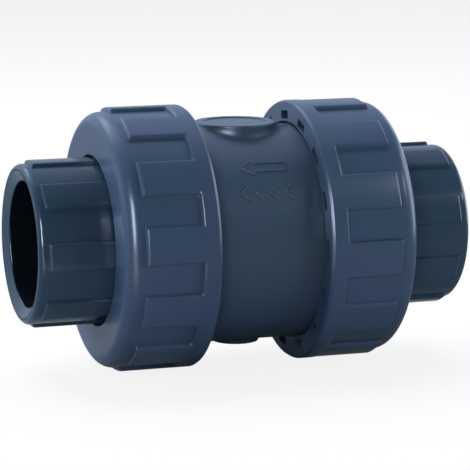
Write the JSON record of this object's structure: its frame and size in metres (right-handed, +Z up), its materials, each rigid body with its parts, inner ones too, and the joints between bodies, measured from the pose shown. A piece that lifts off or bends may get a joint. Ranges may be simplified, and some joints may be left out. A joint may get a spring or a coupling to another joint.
{
  "type": "check valve",
  "caption": "Inline non-return valve with union nuts and solvent sockets at both ends and a spring-loaded cone poppet that lets water through one way.",
  "frame": {"origin": "the middle of the valve, on the pipe axis", "axes": "+X along the pipe from the middle to the inlet end, so the flow runs towards -X; +Z up through the flat boss on the body"},
  "size_m": [0.1796, 0.1056, 0.1056],
  "materials": {
    "body_plastic": "satin-gloss dark grey PVC-U",
    "connector_plastic": "satin-gloss dark grey PVC-U",
    "nut_plastic": "satin-gloss dark blue-grey PVC-U",
    "inner_plastic": "satin dark grey PVC-U",
    "bush_plastic": "waxy white PTFE",
    "seal_rubber": "matte black EPDM",
    "stainless": "bright stainless steel"
  },
  "bodies": {
    "valve_body": {"valve_body": "body_plastic", "seat_carrier": "body_plastic", "seat_carrier_o_ring": "seal_rubber", "guide_spider": "inner_plastic", "guide_bush": "bush_plastic", "guide_retaining_ring": "inner_plastic", "spring_washer": "stainless", "return_spring": "stainless"},
    "poppet": {"poppet_disc": "inner_plastic", "poppet_stem": "stainless", "poppet_seal": "seal_rubber", "seal_retainer": "inner_plastic", "stem_washer": "stainless", "stem_nut": "stainless"},
    "inlet_connector": {"inlet_end_connector": "connector_plastic", "inlet_face_o_ring": "seal_rubber"},
    "inlet_nut": {"inlet_union_nut": "nut_plastic"},
    "outlet_connector": {"outlet_end_connector": "connector_plastic", "outlet_face_o_ring": "seal_rubber"},
    "outlet_nut": {"outlet_union_nut": "nut_plastic"}
  },
  "joints": [
    {"name": "poppet_slide", "type": "slide", "parent": "valve_body", "child": "poppet", "axis": [-1, 0, 0], "range_m": [0, 0.012], "stiffness_N_per_m": 300, "springref_m": -0.01, "deforming": ["return_spring"]},
    {"name": "inlet_union_slide", "type": "slide", "parent": "valve_body", "child": "inlet_connector", "axis": [1, 0, 0], "range_m": [0, 0.02]},
    {"name": "inlet_nut_turn", "type": "hinge", "parent": "inlet_connector", "child": "inlet_nut", "pos_m": [0.045, 0, 0], "axis": [1, 0, 0], "range_deg": [0, 1800]},
    {"name": "outlet_union_slide", "type": "slide", "parent": "valve_body", "child": "outlet_connector", "axis": [-1, 0, 0], "range_m": [0, 0.02]},
    {"name": "outlet_nut_turn", "type": "hinge", "parent": "outlet_connector", "child": "outlet_nut", "pos_m": [-0.045, 0, 0], "axis": [-1, 0, 0], "range_deg": [0, 1800]}
  ],
  "couplings": [
    {"joint": "inlet_union_slide", "follows": "inlet_nut_turn", "m_per_rad": 0.00063662},
    {"joint": "outlet_union_slide", "follows": "outlet_nut_turn", "m_per_rad": 0.00063662}
  ]
}
